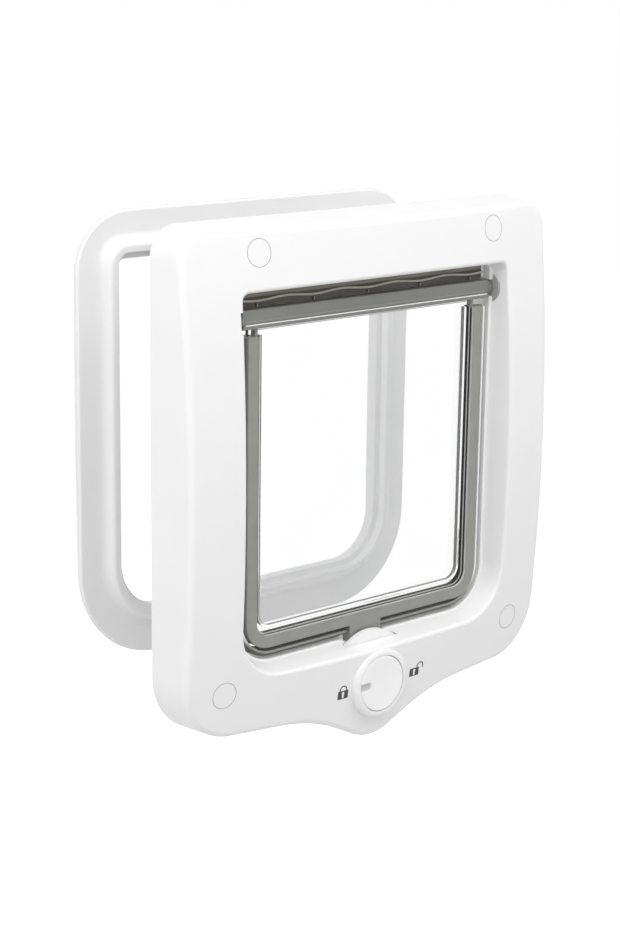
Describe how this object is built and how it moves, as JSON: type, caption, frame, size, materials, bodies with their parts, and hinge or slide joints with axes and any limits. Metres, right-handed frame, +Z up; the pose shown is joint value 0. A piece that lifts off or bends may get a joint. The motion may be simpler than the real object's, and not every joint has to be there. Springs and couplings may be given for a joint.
{
  "type": "cat flap",
  "caption": "Cat flap with a domed inside frame, a clear hanging flap in a grey band, a turning lock knob and a flat outside frame for the door's far side.",
  "frame": {"origin": "on the door's inside face, midway between the two lower fixing screws", "axes": "+X to the right for someone in the room who faces the door, +Y outwards through the door, +Z up"},
  "size_m": [0.2252, 0.1023, 0.2494],
  "materials": {
    "white_frame": "smooth moulded white, soft gloss",
    "white_outer": "smooth moulded white, satin",
    "white_cap": "smooth moulded white, soft gloss",
    "white_lock": "smooth moulded white, gloss",
    "grey_hinge": "warm mid grey moulding, satin",
    "grey_band": "warm mid grey moulding, satin",
    "grey_seal": "soft grey seal",
    "dark_strip": "soft dark strip",
    "clear_pane": "clear, polished",
    "magnet": "sintered magnet",
    "steel": "zinc plated"
  },
  "bodies": {
    "frame": {"front_frame": "white_frame", "rear_frame": "white_outer", "hinge_bearing_left": "grey_hinge", "hinge_bearing_right": "grey_hinge", "frame_magnet": "magnet", "seal_strip_left": "grey_seal", "seal_strip_right": "grey_seal", "draught_strip": "dark_strip", "fixing_screws": "steel", "cap_lower_left": "white_cap", "cap_lower_right": "white_cap", "cap_upper_left": "white_cap", "cap_upper_right": "white_cap"},
    "flap": {"flap_border": "grey_band", "flap_pane": "clear_pane", "hinge_bar": "grey_hinge", "hinge_pin_left": "steel", "hinge_pin_right": "steel", "flap_magnet": "magnet"},
    "knob": {"lock_knob": "white_lock", "lock_disc": "white_lock", "lock_washer": "steel", "lock_screw": "steel"}
  },
  "joints": [
    {"name": "flap_swing", "type": "hinge", "parent": "frame", "child": "flap", "pos_m": [0, -0.0125, 0.1652], "axis": [1, 0, 0], "range_deg": [0, 85]},
    {"name": "knob_turn", "type": "hinge", "parent": "frame", "child": "knob", "pos_m": [0, -0.0255, -0.013], "axis": [0, 1, 0], "range_deg": [0, 180]}
  ]
}
